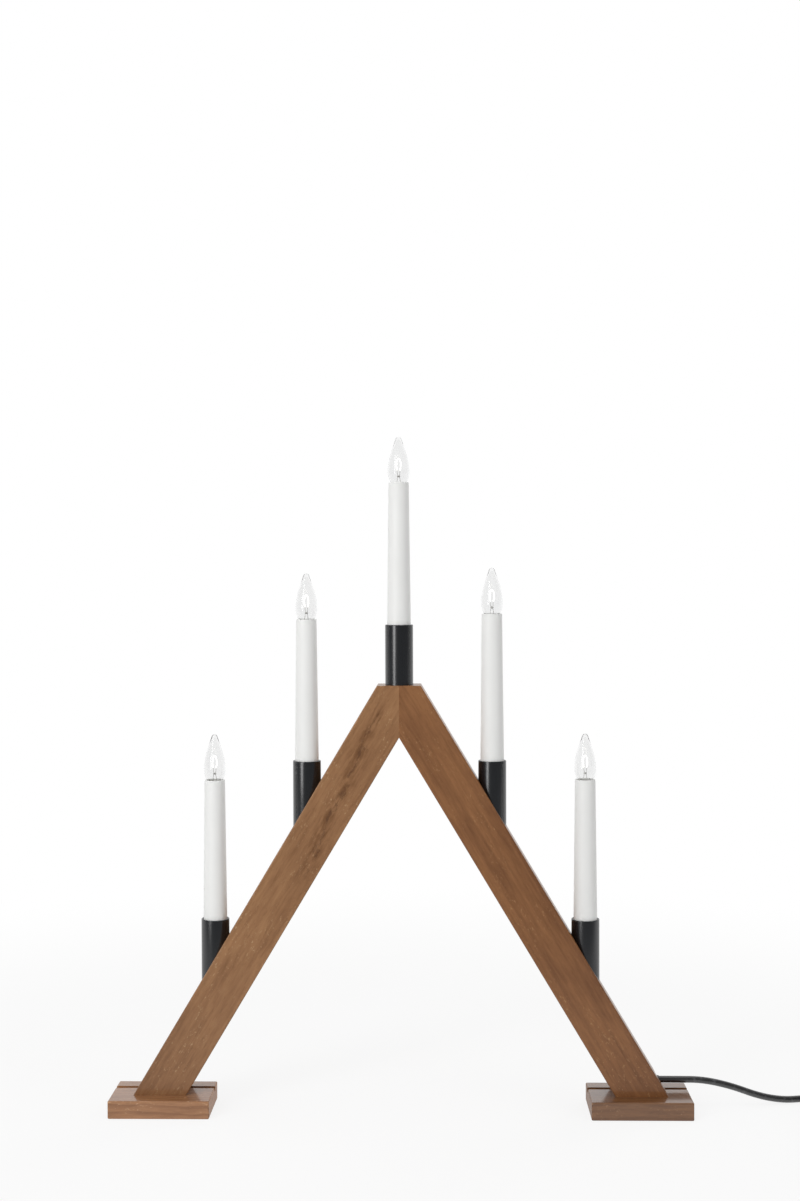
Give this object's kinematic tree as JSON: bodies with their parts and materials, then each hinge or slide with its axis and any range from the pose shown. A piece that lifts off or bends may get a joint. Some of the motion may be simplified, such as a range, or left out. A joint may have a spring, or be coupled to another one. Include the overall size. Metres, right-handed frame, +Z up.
{
  "type": "electric candle arch",
  "caption": "Wooden A-frame window light: leaning legs on grooved feet carry white candle tubes in black sleeves, with clear flame bulbs and a mains cord.",
  "frame": {"origin": "on the surface that the arch stands on, midway between its feet", "axes": "+Z up along the candles, front towards -Y, +X to the viewer's right, where the cord leaves"},
  "size_m": [0.692, 0.0711, 0.4995],
  "materials": {
    "wood": "brown satin lacquer",
    "dowel_wood": "raw",
    "screw_steel": "zinc plated",
    "wire_insulation": "matt",
    "cord_black": "satin",
    "tie_black": "matt",
    "plug_black": "satin",
    "plated_metal": "nickel plated",
    "sleeve_black": "black satin lacquer",
    "candle_white": "satin",
    "socket_brass": "bright",
    "cap_brass": "bright",
    "solder": "dull",
    "clear_glass": "clear",
    "filament_metal": "dull"
  },
  "bodies": {
    "frame": {"left_leg": "wood", "left_foot": "wood", "left_channel_cover": "wood", "right_leg": "wood", "right_foot": "wood", "right_channel_cover": "wood", "mitre_dowels": "dowel_wood", "foot_screws": "screw_steel", "wiring_harness": "wire_insulation", "strain_relief": "cord_black", "cord": "cord_black", "cord_coil": "cord_black", "coil_tie": "tie_black", "plug_body": "plug_black", "plug_pins": "plated_metal", "far_left_sleeve": "sleeve_black", "far_left_candle_tube": "candle_white", "far_left_lamp_socket": "socket_brass", "far_left_socket_contact": "socket_brass", "left_sleeve": "sleeve_black", "left_candle_tube": "candle_white", "left_lamp_socket": "socket_brass", "left_socket_contact": "socket_brass", "centre_sleeve": "sleeve_black", "centre_candle_tube": "candle_white", "centre_lamp_socket": "socket_brass", "centre_socket_contact": "socket_brass", "right_sleeve": "sleeve_black", "right_candle_tube": "candle_white", "right_lamp_socket": "socket_brass", "right_socket_contact": "socket_brass", "far_right_sleeve": "sleeve_black", "far_right_candle_tube": "candle_white", "far_right_lamp_socket": "socket_brass", "far_right_socket_contact": "socket_brass"},
    "far_left_contact": {"far_left_bulb_contact": "solder"},
    "far_left_bulb": {"far_left_bulb_glass": "clear_glass", "far_left_bulb_cap": "cap_brass", "far_left_filament": "filament_metal"},
    "left_contact": {"left_bulb_contact": "solder"},
    "left_bulb": {"left_bulb_glass": "clear_glass", "left_bulb_cap": "cap_brass", "left_filament": "filament_metal"},
    "centre_contact": {"centre_bulb_contact": "solder"},
    "centre_bulb": {"centre_bulb_glass": "clear_glass", "centre_bulb_cap": "cap_brass", "centre_filament": "filament_metal"},
    "right_contact": {"right_bulb_contact": "solder"},
    "right_bulb": {"right_bulb_glass": "clear_glass", "right_bulb_cap": "cap_brass", "right_filament": "filament_metal"},
    "far_right_contact": {"far_right_bulb_contact": "solder"},
    "far_right_bulb": {"far_right_bulb_glass": "clear_glass", "far_right_bulb_cap": "cap_brass", "far_right_filament": "filament_metal"}
  },
  "joints": [
    {"name": "far_left_bulb_lift", "type": "slide", "parent": "frame", "child": "far_left_contact", "axis": [0, 0, 1], "range_m": [0, 0.00726]},
    {"name": "far_left_bulb_turn", "type": "hinge", "parent": "far_left_contact", "child": "far_left_bulb", "pos_m": [-0.1375, 0.0025, 0.24289], "axis": [0, 0, 1], "range_deg": [0, 1440]},
    {"name": "left_bulb_lift", "type": "slide", "parent": "frame", "child": "left_contact", "axis": [0, 0, 1], "range_m": [0, 0.00726]},
    {"name": "left_bulb_turn", "type": "hinge", "parent": "left_contact", "child": "left_bulb", "pos_m": [-0.06875, 0.0025, 0.36226], "axis": [0, 0, 1], "range_deg": [0, 1440]},
    {"name": "centre_bulb_lift", "type": "slide", "parent": "frame", "child": "centre_contact", "axis": [0, 0, 1], "range_m": [0, 0.00726]},
    {"name": "centre_bulb_turn", "type": "hinge", "parent": "centre_contact", "child": "centre_bulb", "pos_m": [0, 0.0025, 0.4632], "axis": [0, 0, 1], "range_deg": [0, 1440]},
    {"name": "right_bulb_lift", "type": "slide", "parent": "frame", "child": "right_contact", "axis": [0, 0, 1], "range_m": [0, 0.00726]},
    {"name": "right_bulb_turn", "type": "hinge", "parent": "right_contact", "child": "right_bulb", "pos_m": [0.06875, 0.0025, 0.36596], "axis": [0, 0, 1], "range_deg": [0, 1440]},
    {"name": "far_right_bulb_lift", "type": "slide", "parent": "frame", "child": "far_right_contact", "axis": [0, 0, 1], "range_m": [0, 0.00726]},
    {"name": "far_right_bulb_turn", "type": "hinge", "parent": "far_right_contact", "child": "far_right_bulb", "pos_m": [0.1375, 0.0025, 0.24309], "axis": [0, 0, 1], "range_deg": [0, 1440]}
  ],
  "couplings": [
    {"joint": "far_left_bulb_lift", "follows": "far_left_bulb_turn", "m_per_rad": 0.00028871},
    {"joint": "left_bulb_lift", "follows": "left_bulb_turn", "m_per_rad": 0.00028871},
    {"joint": "centre_bulb_lift", "follows": "centre_bulb_turn", "m_per_rad": 0.00028871},
    {"joint": "right_bulb_lift", "follows": "right_bulb_turn", "m_per_rad": 0.00028871},
    {"joint": "far_right_bulb_lift", "follows": "far_right_bulb_turn", "m_per_rad": 0.00028871}
  ]
}
